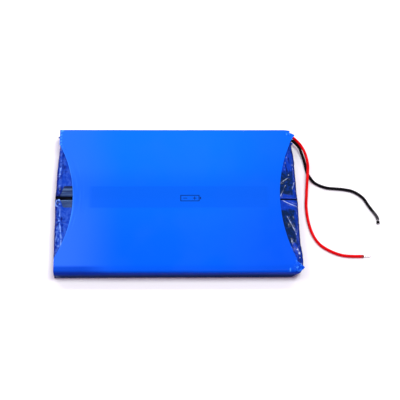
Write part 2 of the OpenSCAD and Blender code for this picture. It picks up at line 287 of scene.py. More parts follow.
# The flattened front corner of the lead end faces this way, as shares of +X and -Y.
CUT_ACROSS, CUT_ALONG = 0.67, 0.742

TAPE_X = (-47.8, 50.4)
TAPE_Y = (-5.7, 7.8)

# Battery sign printed on the sleeve: boxes of (centre X, centre Y, half width, half height).
SIGN_CENTRE = (6.7, 0.1)
SIGN_BOXES = [
    (0.0, 1.75, 5.2, 0.22), (0.0, -1.75, 5.2, 0.22), (-5.0, 0.0, 0.22, 1.95), (5.0, 0.0, 0.22, 1.95),
    (5.75, 0.0, 0.32, 0.75),
    (2.6, 0.0, 1.0, 0.19), (2.6, 0.0, 0.19, 1.0), (-2.6, 0.0, 1.0, 0.19),
]
SIGN_SOFT = 0.18


def box_mask(tree, x, y, box):
    """1 inside a box given as (centre X, centre Y, half width, half height)."""
    reach = []
    for value, centre, half in ((x, box[0] + SIGN_CENTRE[0], box[2]),
                                (y, box[1] + SIGN_CENTRE[1], box[3])):
        away = calc(tree, "ABSOLUTE", calc(tree, "SUBTRACT", value, centre))
        reach.append(ramp(tree, away, half + SIGN_SOFT / 2, half - SIGN_SOFT / 2))
    return product(tree, *reach)


def finish_sleeve(tree, shader):
    vector, (x, y, z) = place(tree)
    near = ramp(tree, y, 44, -44)
    deep = ramp(tree, x, 12, 64)
    cloud = ramp(tree, grain(tree, vector, 26, detail=2), 0.4, 0.7)
    colour = tinted(
        tree, SLEEVE_REAR,
        # Painted shade: the top darkens from the rear towards the front.
        (near, SLEEVE_FRONT_SHADE),
        # Painted sheen: the top turns paler and greyer towards the plain end, more so towards the
        # front.
        (ramp(tree, x, -28, -64), scaled(tree, near, 0.38, 0.5), SLEEVE_SHEEN_AND_MOTTLE),
        # Painted shade: the top darkens towards the lead end, most at its front corner.
        (deep, 0.4, SLEEVE_RIGHT_SHADE),
        (deep, near, 0.5, SLEEVE_CORNER_SHADE),
        # Random cloudy mottle in the same colour.
        (cloud, 0.08, SLEEVE_SHEEN_AND_MOTTLE),
        (zone(tree, y, -3, 14, 16), 0.4, SLEEVE_STRIP),
        (zone(tree, x, *TAPE_X, 4.0), zone(tree, y, *TAPE_Y, 0.9), 0.5, SLEEVE_STRIP),
        # Painted shade along the top's front edge, stronger towards the plain end, where the film
        # slopes down.
        (ramp(tree, y, -39.6, -42.6), 0.3, SLEEVE_EDGE_SHADE),
        (ramp(tree, y, -40.2, -42.2), ramp(tree, x, -34, -52), 0.8, SLEEVE_EDGE_SHADE))
    ink = 0.0
    for box in SIGN_BOXES:
        ink = calc(tree, "MAXIMUM", box_mask(tree, x, y, box), ink)
    colour = tinted(tree, colour, (ink, ramp(tree, z, 6.0, 8.0), 0.9, INK_NAVY))
    # Painted highlights on the crumpled corners and rim lines, painted shade in their folds.
    colour = paint_crease_light(tree, colour, SLEEVE_PAINTED_HIGHLIGHT, SLEEVE_PAINTED_SHADE)
    # Painted shade: the side walls and the flattened front corner of the lead end are painted much
    # darker than the top, darkest towards the floor.
    wall = ramp(tree, calc(tree, "ABSOLUTE", y), HALF_WIDTH - 2.0, HALF_WIDTH - 0.8)
    side = product(tree, ramp(tree, z, 7.9, 7.1), wall)
    to_corner = scaled(tree, y, -CUT_ALONG, product(tree, x, CUT_ACROSS))
    cut_face_shade = product(tree, ramp(tree, to_corner, 72.2, 73.6), ramp(tree, z, 8.2, 7.3))
    side = calc(tree, "MAXIMUM", side, cut_face_shade)
    side_shade_colour = blend(tree, ramp(tree, z, 6.8, 2.6), SLEEVE_SIDE_SHADE_HIGH, SLEEVE_SIDE_SHADE_LOW)
    paint(tree, shader, blend(tree, side, colour, side_shade_colour))
    set_gloss(shader, 0.22, specular=0.012)
    streaks, _ = place(tree, (1, 0.12, 1))
    worn = scaled(tree, grain(tree, streaks, 1.5), 0.12, 0.15)
    tree.links.new(worn, shader.inputs["Roughness"])
    skin = calc(tree, "ADD", grain(tree, vector, 0.9, detail=4),
                product(tree, grain(tree, streaks, 2.4), 1.4))
    dent(tree, shader, skin, 0.018)


END_LIGHT = (0.004, 0.045, 0.42)
END_LIGHT_PALE = (0.022, 0.086, 0.50)
END_LIGHT_EDGE_SHADE = (0.0006, 0.012, 0.23)
END_LIGHT_HIGHLIGHT = (0.17, 0.34, 0.80)
END_LIGHT_GROOVE_SHADE = (0.0010, 0.010, 0.15)


def finish_end_light(tree, shader):
    vector, (x, _, _) = place(tree, (1, 0.6, 1))
    patches = ramp(tree, grain(tree, vector, 2.0, detail=5, bent=0.8), 0.38, 0.66)
    # Painted shade along the film's rounded outer edge, with a ragged inner border.
    outer = ramp(tree, scaled(tree, grain(tree, vector, 1.6), 1.6, x), -63.8, -64.9)
    colour = tinted(tree, END_LIGHT, (patches, END_LIGHT_PALE), (outer, END_LIGHT_EDGE_SHADE))
    # Painted highlights on the film's wrinkles and rolls, painted shade in their grooves.
    paint(tree, shader, paint_crease_light(tree, colour, END_LIGHT_HIGHLIGHT, END_LIGHT_GROOVE_SHADE))
    set_gloss(shader, 0.14, specular=0.10)
    dent(tree, shader, grain(tree, vector, 0.8, detail=5, bent=0.5), 0.08)


END_DARK = (0.002, 0.010, 0.085)
END_DARK_BLUE = (0.004, 0.041, 0.41)
END_DARK_OVER_PAD = (0.003, 0.016, 0.062)
END_DARK_PAD_BLUE = (0.003, 0.027, 0.19)
END_DARK_EDGE_SHADE = (0.002, 0.022, 0.24)
END_DARK_HIGHLIGHT = (0.55, 0.70, 0.94)
END_DARK_SLIT_SHADE = (0.0003, 0.0004, 0.0012)
SLIT_Y = -0.45
SLIT_HALF = 0.34
PAD_ZONES = ((2.4, 17.0), (-28.0, -7.4))


def finish_end_dark(tree, shader):
    vector, (x, y, z) = place(tree)
    streaked, _ = place(tree, (1, 0.14, 1))
    wobble = scaled(tree, grain(tree, vector, 2.4), 4.4, -2.2)
    lifted = calc(tree, "ADD", y, wobble)
    pads = 0.0
    for low, high in PAD_ZONES:
        pads = calc(tree, "MAXIMUM", zone(tree, lifted, low, high, 1.6), pads)
    pads = product(tree, pads, ramp(tree, calc(tree, "ADD", x, wobble), 64.6, 62.8))
    streaks = ramp(tree, grain(tree, streaked, 0.9, detail=4, bent=0.4), 0.47, 0.68)
    mottle = ramp(tree, grain(tree, vector, 1.5, detail=5, bent=0.6), 0.46, 0.68)
    over_pad = blend(tree, mottle, END_DARK_OVER_PAD, END_DARK_PAD_BLUE)
    colour = tinted(
        tree, END_DARK_BLUE,
        (streaks, END_DARK),
        (zone(tree, lifted, -6.8, 2.2, 1.0), 0.75, END_DARK_BLUE),
        (pads, over_pad),
        # Painted shade on the film's rounded outer edge.
        (ramp(tree, x, 63.4, 64.8), 0.8, END_DARK_EDGE_SHADE))
    # Painted highlights on the film's creases and glints, painted shade in its streaks and along its
    # outer edge.
    colour = paint_crease_light(tree, colour, END_DARK_HIGHLIGHT, END_DARK)
    # Painted shade: the slit at the gap between the cells is painted nearly black and rough.
    from_slit = calc(tree, "ABSOLUTE", calc(tree, "SUBTRACT", y, SLIT_Y))
    slit_shade = product(tree, ramp(tree, from_slit, SLIT_HALF + 0.2, SLIT_HALF - 0.1),
                   ramp(tree, z, 6.0, 6.6))
    paint(tree, shader, blend(tree, slit_shade, colour, END_DARK_SLIT_SHADE))
    set_gloss(shader, 0.12, specular=0.08)
    tree.links.new(scaled(tree, slit_shade, 0.7, 0.12), shader.inputs["Roughness"])
    dent(tree, shader, grain(tree, vector, 1.1, detail=4, bent=0.7), 0.05)


POUCH_GREY = (0.023, 0.055, 0.165)
POUCH_PALE = (0.046, 0.094, 0.215)
POUCH_SHADE = (0.003, 0.012, 0.060)
POUCH_HIGHLIGHT = (0.07, 0.14, 0.28)
# Bands that the rolled film beside the gap shows, painted as shade and highlights: lowest and
# highest Y, strength and colour.
POUCH_LIGHT_BANDS = [
    (6.9, 7.9, 0.9, POUCH_SHADE), (5.4, 6.4, 1.0, POUCH_HIGHLIGHT), (4.6, 5.0, 1.0, POUCH_SHADE),
    (2.0, 2.8, 0.4, POUCH_HIGHLIGHT), (-1.3, -0.6, 0.9, POUCH_HIGHLIGHT),
]


def finish_pouch(tree, shader):
    vector, (_, y, _) = place(tree, (0.35, 1, 1))
    mottle = ramp(tree, grain(tree, vector, 1.6, detail=5), 0.35, 0.7)
    bent_y = calc(tree, "ADD", y, scaled(tree, grain(tree, vector, 2.0), 0.9, -0.45))
    # Painted shade and highlight bands beside the gap.
    bands = [(zone(tree, bent_y, low, high, 0.4), strength, colour)
             for low, high, strength, colour in POUCH_LIGHT_BANDS]
    paint(tree, shader, tinted(tree, POUCH_GREY, (mottle, POUCH_PALE), *bands))
    set_gloss(shader, 0.26, specular=0.2, metallic=0.3)
    dent(tree, shader, grain(tree, vector, 0.5, detail=4), 0.03)


FOAM_BLACK = (0.0015, 0.002, 0.005)
FOAM_GREY = (0.006, 0.007, 0.013)


def finish_foam(tree, shader):
    vector, _ = place(tree)
    cells = add(tree, "ShaderNodeTexVoronoi", [("Vector", vector), ("Scale", 2.8)])
    paint(tree, shader, blend(tree, cells.outputs["Distance"], FOAM_BLACK, FOAM_GREY))
    set_gloss(shader, 0.9, specular=0.04)
    dent(tree, shader, cells.outputs["Distance"], 0.12)


LEAD_RED = (0.76, 0.001, 0.004)
LEAD_RED_SHADE = (0.62, 0.001, 0.004)
LEAD_RED_END = (0.34, 0.045, 0.040)
LEAD_BLACK = (0.0012, 0.0012, 0.0016)
LEAD_BLACK_SHEEN = (0.004, 0.004, 0.005)
LEAD_BLACK_END_SHEEN = (0.045, 0.045, 0.047)


def lead_finish(tree, shader, colour, other, end, end_colour):
    """Insulation of two close shades that takes a third one where end is 1."""
    vector, _ = place(tree)
    shade = blend(tree, ramp(tree, grain(tree, vector, 4), 0.35, 0.7), colour, other)
    paint(tree, shader, blend(tree, end, shade, end_colour))
    set_gloss(shader, 0.42, specular=0.04)
    dent(tree, shader, grain(tree, vector, 0.35, detail=2), 0.012)


def finish_red_lead(tree, shader):
    _, (x, _, _) = place(tree)
    lead_finish(tree, shader, LEAD_RED, LEAD_RED_SHADE, ramp(tree, x, 98.2, 100.2), LEAD_RED_END)


def finish_black_lead(tree, shader):
    _, (x, y, _) = place(tree)
    # Painted sheen: a greyer patch on the black lead near its end.
    end_sheen = product(tree, ramp(tree, x, 105, 107.5), zone(tree, y, -9.8, -4.5, 2.0))
    lead_finish(tree, shader, LEAD_BLACK, LEAD_BLACK_SHEEN, end_sheen, LEAD_BLACK_END_SHEEN)


FINISHES = {
    "sleeve_film": finish_sleeve,
    "end_film_light": finish_end_light,
    "end_film_dark": finish_end_dark,
    "joining_tape": plain((0.02, 0.12, 0.6), (0.03, 0.15, 0.66), 4, 0.3),
    "black_foam": finish_foam,
    "pouch_laminate": finish_pouch,
    "cathode_coating": plain((0.022, 0.022, 0.026), (0.035, 0.035, 0.04), 0.8, 0.8, metallic=0.2),
    "anode_copper": plain((0.10, 0.055, 0.04), (0.16, 0.085, 0.055), 1.0, 0.55, metallic=0.6),
    "separator_film": plain((0.82, 0.82, 0.79), (0.9, 0.9, 0.87), 2, 0.6),
    "stack_tape": plain((0.04, 0.26, 0.11), (0.06, 0.33, 0.15), 3, 0.3),
    "tab_aluminium": plain((0.58, 0.59, 0.61), (0.7, 0.7, 0.72), 0.7, 0.32, metallic=1.0,
                           stretch=(0.15, 1, 1)),
    "nickel": plain((0.48, 0.46, 0.41), (0.6, 0.57, 0.5), 0.6, 0.3, metallic=1.0,
                    stretch=(1, 0.15, 1)),
    "sealant": plain((0.7, 0.7, 0.62), (0.8, 0.8, 0.73), 1.5, 0.45),
    "board_laminate": plain((0.008, 0.11, 0.04), (0.014, 0.16, 0.06), 0.6, 0.4),
    "copper_land": plain((0.6, 0.33, 0.15), (0.72, 0.45, 0.25), 0.5, 0.3, metallic=1.0),
    "chip_body": plain((0.016, 0.016, 0.018), (0.03, 0.03, 0.032), 0.25, 0.6),
    "capacitor_body": plain((0.32, 0.22, 0.14), (0.42, 0.3, 0.2), 0.3, 0.45),
    "fish_paper": plain((0.56, 0.58, 0.42), (0.68, 0.69, 0.53), 0.5, 0.8, stretch=(1, 0.3, 1)),
    "solder": plain((0.55, 0.55, 0.57), (0.75, 0.75, 0.76), 0.5, 0.22, metallic=1.0, relief=0.05),
    "amber_tape": plain((0.42, 0.19, 0.02), (0.55, 0.28, 0.04), 1.5, 0.2),
    "red_insulation": finish_red_lead,
    "black_insulation": finish_black_lead,
    "tinned_copper": plain((0.62, 0.60, 0.57), (0.85, 0.83, 0.80), 0.3, 0.25, metallic=1.0),
}
MATERIALS = {slot_name: surface(slot_name, finish) for slot_name, finish in FINISHES.items()}


# ---- making pieces ----

def dress(obj, slot):
    """Gives a piece the finish of one of the record's material slots."""
    obj.data.materials.clear()
    obj.data.materials.append(MATERIALS[slot])


def mesh_piece(name, points, faces, slot, stands_for, thickness=0.0, creases=()):
    """A smooth mesh from points in millimetres, in place of the CAD node that it stands for.

    A film gets its thickness inwards. creases has a number for each point, from -1 in a groove
    to 1 on a ridge, which its finish paints as shade or as a highlight.
    """
    data = bpy.data.meshes.new(name)
    data.from_pydata([Vector(p) * MM for p in points], [], faces)
    data.validate()
    data.shade_smooth()
    if creases:
        data.attributes.new("crease", "FLOAT", "POINT").data.foreach_set("value", creases)
    obj = new_object(name, data)
    dress(obj, slot)
    if thickness:
        shell = obj.modifiers.new("thickness", "SOLIDIFY")
        shell.thickness = thickness * MM
        shell.offset = -1
    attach(obj, "root")
    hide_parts(stands_for)
    return obj


def grid_faces(rows, columns, start=0, closed=False, tube=False):
    """Quads between rows of columns points.

    closed joins the last row to the first, and tube the last point of each row to its first.
    """
    faces = []
    for r in range(rows if closed else rows - 1):
        a, b = start + r * columns, start + (r + 1) % rows * columns
        faces += [(a + c, a + (c + 1) % columns, b + (c + 1) % columns, b + c)
                  for c in range(columns if tube else columns - 1)]
    return faces


def end_cap(ring, sides, start=0):
    """One face over a ring, facing on along the tube."""
    first = start + ring * sides
    return tuple(range(first, first + sides))


def capped_tube(rings, sides, start=0):
    ends = [end_cap(0, sides, start)[::-1], end_cap(rings - 1, sides, start)]
    return grid_faces(rings, sides, start, tube=True) + ends


def arc_points(across, up, radius, start, end, steps, side=1):
    """A round edge from start to end degrees without its two ends: points, then normals."""
    made = []
    for k in range(1, steps):
        angle = math.radians(start + (end - start) * k / steps)
        c, s = math.cos(angle), math.sin(angle)
        made.append((across + side * radius * c, up + radius * s, side * c, s))
    return made


# ---- leads ----

LEAD_DIAMETER = 1.6
LEAD_STEPS = 6
RED_ROUTE = [
    (56, 27, 4), (56, 32, 4), (56.5, 36.5, 4), (58.5, 40.5, 4), (62, 43, 4.2), (65.7, 42.6, 4.5),
    (68.5, 39.8, 4.7), (70.6, 36.9, 4.5), (72.3, 33.5, 4), (73.5, 29, 3.5), (74, 24, 3),
    (73.5, 19, 2.6), (73, 14.5, 2.1), (72.5, 10, 1.5), (72, 5, 1), (71.5, 0, 0.8),
    (71.5, -5.5, 0.8), (72, -11, 0.8), (73, -16, 0.8), (74.5, -20.5, 0.8), (77, -24.5, 0.8),
    (80.5, -27.5, 0.8), (85, -30, 0.8), (89.5, -31.5, 0.8), (94.5, -32, 0.8), (100.5, -32, 0.8),
]
BLACK_ROUTE = [
    (58.5, 27, 4), (58.5, 32, 4), (59, 36, 4), (61, 39.5, 4), (64, 41, 3.8), (66.1, 40.7, 3.5),
    (67.9, 39.2, 3), (69.9, 36.7, 2.5), (71.1, 33.5, 1.8), (72.2, 29.5, 1.2), (72.9, 25, 0.9),
    (73.5, 21, 0.8), (75, 17.5, 0.8), (77, 14.5, 0.8), (80, 12.5, 0.8), (84, 11, 0.8),
    (88.5, 10.5, 0.8), (93, 10, 0.8), (97.5, 9, 0.8), (101, 7, 0.8), (104, 4, 0.8),
    (106, 0, 0.8), (108, -3.5, 0.8), (109.8, -6.5, 0.8), (110.6, -8.5, 0.8), (110.6, -9.5, 0.8),
]

STRANDS = 7
CONDUCTOR_RADIUS = 0.4
RED_BARE, BLACK_BARE = 4.0, 2.6
SLUG_START, SLUG_LENGTH = 0.7, 1.75
SLUG_BORE = 0.45
# The slug's outline: how far along it, as a share of its length, and its radius there.
SLUG_OUTLINE = [
    (0.0, SLUG_BORE), (0.0, 0.64), (0.03, 0.74), (0.10, 0.81), (0.3, 0.83), (0.5, 0.82),
    (0.7, 0.83), (0.9, 0.81), (0.97, 0.74), (1.0, 0.64), (1.0, SLUG_BORE),
]


def lead(colour, route):
    """The insulation of the red or the black lead."""
    name = colour + "_wire"
    line = smooth_line([Vector(p) for p in route], LEAD_STEPS)
    data = bpy.data.curves.new(name, "CURVE")
    data.dimensions = "3D"
    data.bevel_depth = LEAD_DIAMETER / 2 * MM
    data.bevel_resolution = 5
    data.use_fill_caps = True
    spline = data.splines.new("POLY")
    spline.points.add(len(line) - 1)
    for point, at in zip(spline.points, line):
        point.co = (*(at * MM), 1)
    spline.use_smooth = True
    obj = new_object(name, data)
    dress(obj, colour + "_insulation")
    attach(obj, "root")
    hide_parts(colour + "_lead")


def ring_round(start, direction, sides, shape):
    """One ring of points round a line; shape(angle) gives a point's distance along and radius."""
    side = direction.orthogonal().normalized()
    other = direction.cross(side)
    ring = []
    for k in range(sides):
        angle = 2 * math.pi * k / sides
        along, radius = shape(angle)
        ring.append(start + direction * along
                    + radius * (math.cos(angle) * side + math.sin(angle) * other))
    return ring


def strands(name, start, direction, length, stands_for):
    """Twisted, tinned strands as one lobed bundle that ends in a rounded point."""
    sides, rings, twist = 42, 44, 1.1
    points = []
    for r in range(rings):
        along = r / (rings - 1)
        round_end = math.sqrt(max(0.0, 1 - max(0.0, (along - 0.93) / 0.07) ** 2))

        def lobed(angle):
            lobe = 0.86 + 0.14 * abs(math.cos(STRANDS / 2 * (angle - twist * along * length)))
            return along * length, CONDUCTOR_RADIUS * lobe * (0.12 + 0.88 * round_end)

        points += ring_round(start, direction, sides, lobed)
    return mesh_piece(name, points, capped_tube(rings, sides), "tinned_copper", stands_for)


def slug(name, start, direction, stands_for):
    """The short sleeve of insulation left on the black lead's end, cut ragged at both ends."""
    sides = 32
    points = []
    for at, radius in SLUG_OUTLINE:
        def ragged(angle):
            edge = 0.09 * math.sin(angle + 0.6) + 0.04 * math.sin(3 * angle)
            skew = edge * (at - 0.5) * 2 if radius > SLUG_BORE else 0.0
            return at * SLUG_LENGTH + skew, radius

        points += ring_round(start, direction, sides, ragged)
    faces = grid_faces(len(SLUG_OUTLINE), sides, closed=True, tube=True)
    return mesh_piece(name, points, faces, "black_insulation", stands_for)


def make_leads():
    red_end, black_end = Vector(RED_ROUTE[-1]), Vector(BLACK_ROUTE[-1])
    right, front = Vector((1, 0, 0)), Vector((0, -1, 0))
    red_strands = strands("red_wire_strands", red_end, right, RED_BARE, "red_lead_tip")
    black_strands = strands("black_wire_strands", black_end, front, BLACK_BARE, "black_lead_tip")
    black_slug = slug("black_wire_slug", black_end + SLUG_START * front, front, "black_lead_slug")
    lead("red", RED_ROUTE)
    lead("black", BLACK_ROUTE)


make_leads()


# ---- sleeve ----

EDGE_RADIUS = 1.3
# The arcs that the ends are cut to: X of the apex, radius and Y of the centre.
LEFT_ARC = (-57.15, 78.0, -0.5)
RIGHT_ARC = (56.15, 95.0, -2.0)
SLEEVE_FILM = 0.15
# Past these X the sleeve's mesh is finer.
FINE_LEFT, FINE_RIGHT = -46.0, 46.0
# Painted glints, and painted dark spots where the strength is below 0, near the sleeve's rear
# corners: X, Y, width in X and in Y, and strength.
CORNER_GLINTS = [
    (62.5, 41.7, 0.3, 0.5, 1.5), (63.4, 41.4, 0.3, 0.9, -0.7), (64.1, 41.8, 0.3, 0.4, 0.7),
    (61.4, 41.9, 0.4, 0.8, -0.5), (-64.2, 43.7, 0.7, 0.5, 1.2),
]
# The crushed corners of the lead end, rear 1 and front -1: X and Y where they start, and depth.
CRUSH = {-1: (59.5, 35.0, 0.50), 1: (60.5, 38.5, 0.34)}
# How far out the flattened front corner lies at the bottom, and how much further at the top.
CUT_LIMIT, CUT_LEAN = 73.0, 3.2


def arc_offset(y, radius, centre):
    """How far an arc has moved back from its apex at y."""
    return radius - math.sqrt(radius ** 2 - (y - centre) ** 2)


def left_rim(y):
    apex, radius, centre = LEFT_ARC
    return max(-HALF_LENGTH - 0.05 * step(-y, 30, 40), apex - arc_offset(y, radius, centre))


def right_rim(y, z=HEIGHT):
    """The lead end's arc, with the crushed corners beside it: the front one juts out on top."""
    apex, radius, centre = RIGHT_ARC
    x = min(HALF_LENGTH, apex + arc_offset(y, radius, centre))
    x += 0.9 * hump(y, 41.0, 0.8) - 1.6 * step(y, 41.9, 42.7)
    x += 1.9 * hump(y, -41.9, 1.6) * step(z, 2.0, 6.5) - 0.5 * hump(y, -38.4, 0.7)
    return x + 0.35 * step(abs(y), 31, 36) * ripple(0, y, 1, 1.3, 4.4)


def sleeve_section():
    """Points round the sleeve as (Y, Z, normal Y, normal Z), starting on the front wall."""
    edge = EDGE_RADIUS
    flat, top_edge = HALF_WIDTH - edge, HEIGHT - edge
    sides = spread((edge, top_edge, 9))
    top = spread((-flat, -flat + 8, 16), (-flat + 8, -6.4, 30), (-6.4, -4.8, 5), (-4.8, 7.0, 12),
                 (7.0, 8.6, 5), (8.6, flat - 8, 28), (flat - 8, flat, 16))
    section = [(-HALF_WIDTH, z, -1, 0) for z in sides]
    section += arc_points(-flat, top_edge, edge, 180, 90, 6)
    section += [(y, HEIGHT, 0, 1) for y in top]
    section += arc_points(flat, top_edge, edge, 90, 0, 6)
    section += [(HALF_WIDTH, z, 1, 0) for z in reversed(sides)]
    section += arc_points(flat, edge, edge, 0, -90, 6)
    section += [(y, 0, 0, -1) for y in reversed(top)]
    return section + arc_points(-flat, edge, edge, -90, -180, 6)


def over_layers(x, y):
    """1 where a film or the tape lies under the sleeve, 0 where only the pouch does."""
    tape = band(x, *TAPE_X, 1.0) * band(y, *TAPE_Y, 1.0)
    return max(tape, 1 - step(x, -49.0, -47.0), step(x, 49.5, 51.5))


def sleeve_relief(x, y):
    """Height of the top film against a flat one."""
    z = -0.06 * (1 - over_layers(x, y)) - 0.04 * hump(y, 0, 1.4)
    z += 0.10 * ripple(x, y, 30, 22, 1.5) + 0.035 * ripple(x, y, 11, 8, 2.5)
    from_left, from_right = x - left_rim(y), right_rim(y) - x
    free = 1 - step(abs(y), 29, 36)
    z += free * (0.10 * hump(from_left, 0, 0.7) - 0.06 * hump(from_left, 2.0, 0.8))
    z += free * (0.05 + 0.08 * ripple(0, y, 1, 9, 3.3)) * hump(from_left, 4.2, 0.9)
    z += 0.04 * ripple(from_left, y, 1.1, 12, 5.1) * math.exp(-from_left / 7) * free
    z += 0.10 * hump(from_right, 0, 0.6) - 0.05 * hump(from_right, 1.8, 0.8)
    z += 0.05 * ripple(from_right, y, 1.2, 10, 6.1) * math.exp(-max(from_right, 0) / 5)
    z -= 0.12 * step(-y, 40.2, 44.2) * (1 - step(x, -58, -38))
    z += 0.22 * hump(x, 59.3, 0.6) * step(-y, 41.0, 43.4)
    return z


def limited(mark):
    return max(-1.0, min(1.0, mark))


def rim_painted_light(x, y):
    """Painted highlight lines beside the plain end's arc, and painted glints and dark spots near the
    sleeve's corners.
    """
    from_left = x - left_rim(y)
    lines = 0.8 * ripple(from_left, y, 0.9, 16, 5.1) * math.exp(-from_left / 4.5)
    lines *= 1 - step(abs(y - 2), 14, 26)
    lines += 0.35 * hump(from_left, 0.0, 0.5) * (1 - step(abs(y), 31, 36))
    for glint_x, glint_y, width_x, width_y, strength in CORNER_GLINTS:
        lines += strength * hump(x, glint_x, width_x) * hump(y, glint_y, width_y)
    dashes = step(math.sin(3.1 * y + 2.0 * ripple(0, y, 1, 5, 3.7)), 0.1, 0.7)
    lines += 1.5 * hump(from_left, 0.8, 0.45) * dashes * band(y, 32, 43, 2)
    return lines + 0.8 * hump(x, 59.0, 0.35) * band(y, -44.5, -42.6, 0.8)


def crush_fold(x, y, z):
    """The side, weight and fold height of the crushed corners of the lead end."""
    side = -1 if y < 0 else 1
    start_x, start_y, depth = CRUSH[side]
    weight = step(x, start_x, start_x + 4) * step(abs(y), start_y, start_y + 4)
    if weight == 0:
        return side, 0.0, 0.0
    fold = crinkle(x, y + 0.7 * z, 1.5, 1.2, 7.7 + side) + 0.6 * crinkle(x, y - z, 0.8, 0.8, 3.2)
    return side, weight, depth * fold


def cut_corner(x, y, z, clearance=0.0):
    """Keeps a point behind the flattened front corner of the lead end, which leans outwards."""
    limit = CUT_LIMIT + CUT_LEAN * step(z, -1, 7) - clearance
    beyond = max(0.0, CUT_ACROSS * x - CUT_ALONG * y - limit)
    return x - CUT_ACROSS * beyond, y + CUT_ALONG * beyond


def crushed(x, y, z):
    """Pulls a point of the sleeve into the crushed corners of the lead end."""
    side, weight, fold = crush_fold(x, y, z)
    if weight == 0:
        return x, y, z
    depth = CRUSH[side][2]
    z += fold * weight * (1 if z > 4 else 0.3)
    y -= side * depth * 0.7 * (0.5 + crinkle(x, z, 1.6, 1.4, 8.8)) * weight * step(abs(y), 42, 44.5)
    x, y = cut_corner(x, y, z)
    z -= 0.5 * weight * step(abs(y), 40, 44.5) * step(z, 5, 8.6)
    return x, y, z


def sleeve_point(x, y, z, ny, nz):
    """A point of the real sleeve from one of its plain section and that one's normal."""
    if y < 0:
        outwards = 0.32 * step(x, -60, 60) - 0.3 * (1 - step(x, -62, -20))
        y -= outwards * step(-y, 40, HALF_WIDTH) * step(z, 4.5, 7.3)
    if y > 0 and z > HEIGHT - EDGE_RADIUS:
        y += 0.6 * step(y, 40, HALF_WIDTH)
        if ny > 0:
            y, z = y + 0.35 * ny * nz, z + 0.35 * ny * nz
    if nz > 0.5:
        z += nz * nz * sleeve_relief(x, y)
    elif nz < -0.5:
        z += 0.04 + 0.04 * ripple(x, y, 24, 20, 8.5)
    if abs(ny) > 0.5:
        hollow = 0.10 + 0.07 * ripple(x, z, 17, 5, 2.2) + 0.03 * ripple(x, z, 5, 3, 5.2)
        foot = 0.38 - 0.36 * step(x, -65, 65)
        if y < 0:
            foot += 0.5 * (1 - step(x, -66.0, -61.5))
        y -= ny * (hollow + foot * (1 - step(z, 0.5, 5.5)))
    x, y, z = crushed(x, y, z)
    return x, y, max(z, 0.02)


def sleeve_mark(x, y, z, nz):
    """The crease number of a point of the sleeve, from -1 to 1: painted highlights on its crumples
    and rim lines, painted shade in their folds.
    """
    _, weight, fold = crush_fold(x, y, z)
    mark = 2.0 * weight * fold
    if nz > 0.5:
        mark += rim_painted_light(x, y)
    return limited(mark)


def make_sleeve():
    points, marks, rows = [], [], sleeve_section()
    for y, z, ny, nz in rows:
        left, right = left_rim(y), right_rim(y, z)
        xs = spread((left, FINE_LEFT, 52), (FINE_LEFT, FINE_RIGHT, 62), (FINE_RIGHT, right, 56))
        points += [sleeve_point(x, y, z, ny, nz) for x in xs]
        marks += [sleeve_mark(x, y, z, nz) for x in xs]
    faces = grid_faces(len(rows), len(xs), closed=True)
    mesh_piece("sleeve", points, faces, "sleeve_film", "shrink_sleeve", SLEEVE_FILM, marks)


# ---- end films ----

END_FILM = 0.1
END_LOW, END_HIGH = 0.2, 8.4
END_HALF = 43.3


def wrap_profile(inner_x, wall_x, radius):
    """A line over the top, down the end and back below, as (X, Z, normal X, normal Z)."""
    side = 1 if wall_x > inner_x else -1
    turn = wall_x - side * radius
    run = abs(turn - inner_x)
    fine = min(9.0, run * 0.7)
    top = spread((inner_x, turn - side * fine, max(2, int((run - fine) / 0.8))),
                 (turn - side * fine, turn, int(fine / 0.24)))
    line = [(x, END_HIGH, 0, 1) for x in top]
    line += arc_points(turn, END_HIGH - radius, radius, 90, 0, 8, side)
    line += [(wall_x, z, side, 0) for z in spread((END_HIGH - radius, END_LOW + radius, 20))]
    line += arc_points(turn, END_LOW + radius, radius, 0, -90, 8, side)
    return line + [(x, END_LOW, 0, -1) for x in reversed(top)]


def plain_end_bulge(y):
    """How far the plain end's top edge stands out past its CAD wall."""
    front = 1.0 * step(y, -43, -34) + 0.25 * step(y, -30, -22)
    return front * (1 - step(y, 14, 44)) + 0.4 * hump(y, -1.0, 6)


def gap_shift(x):
    """How far the gap between the cells has moved to the rear near the plain end."""
    return 0.65 * step(-x, 48, 56)


# Of the rear film, 1, and the front one, -1, at the plain end:
# the roll round the pouch's corner beside the gap, with painted highlight and shade rings, as centre
# X and Y, radius and strength,
ROLLS = {1: (-61.5, 5.8, 3.0, 0.45), -1: (-62.2, -3.2, 2.6, 1.0)}
# the Y where the film stops beside the gap, on top and at its very end,
INNER_EDGES = {1: (7.9, 1.6), -1: (-5.6, -0.4)}
# and how far from there its lines start and are at full strength.
LINE_STARTS = {1: (3.0, 7.0), -1: (0.2, 2.2)}


def roll_mark(x, y, side):
    """A pale ring between two dark ones round a pouch's corner: a painted highlight between rings of
    painted shade, also used to lift the film a little.
    """
    centre_x, centre_y, radius, strength = ROLLS[side]
    off = math.hypot(x - centre_x, y - centre_y) - radius
    around = step(-x, 61.7, 62.9) * (1 - step(side * (y - centre_y), 2.6, 4.4))
    around *= 1 - step(-y, 4.2, 6.0)
    rings = 1.15 * hump(off, 0, 0.42) - 0.9 * hump(off, -1.25, 0.5) - 0.8 * hump(off, 1.0, 0.45)
    return strength * around * rings


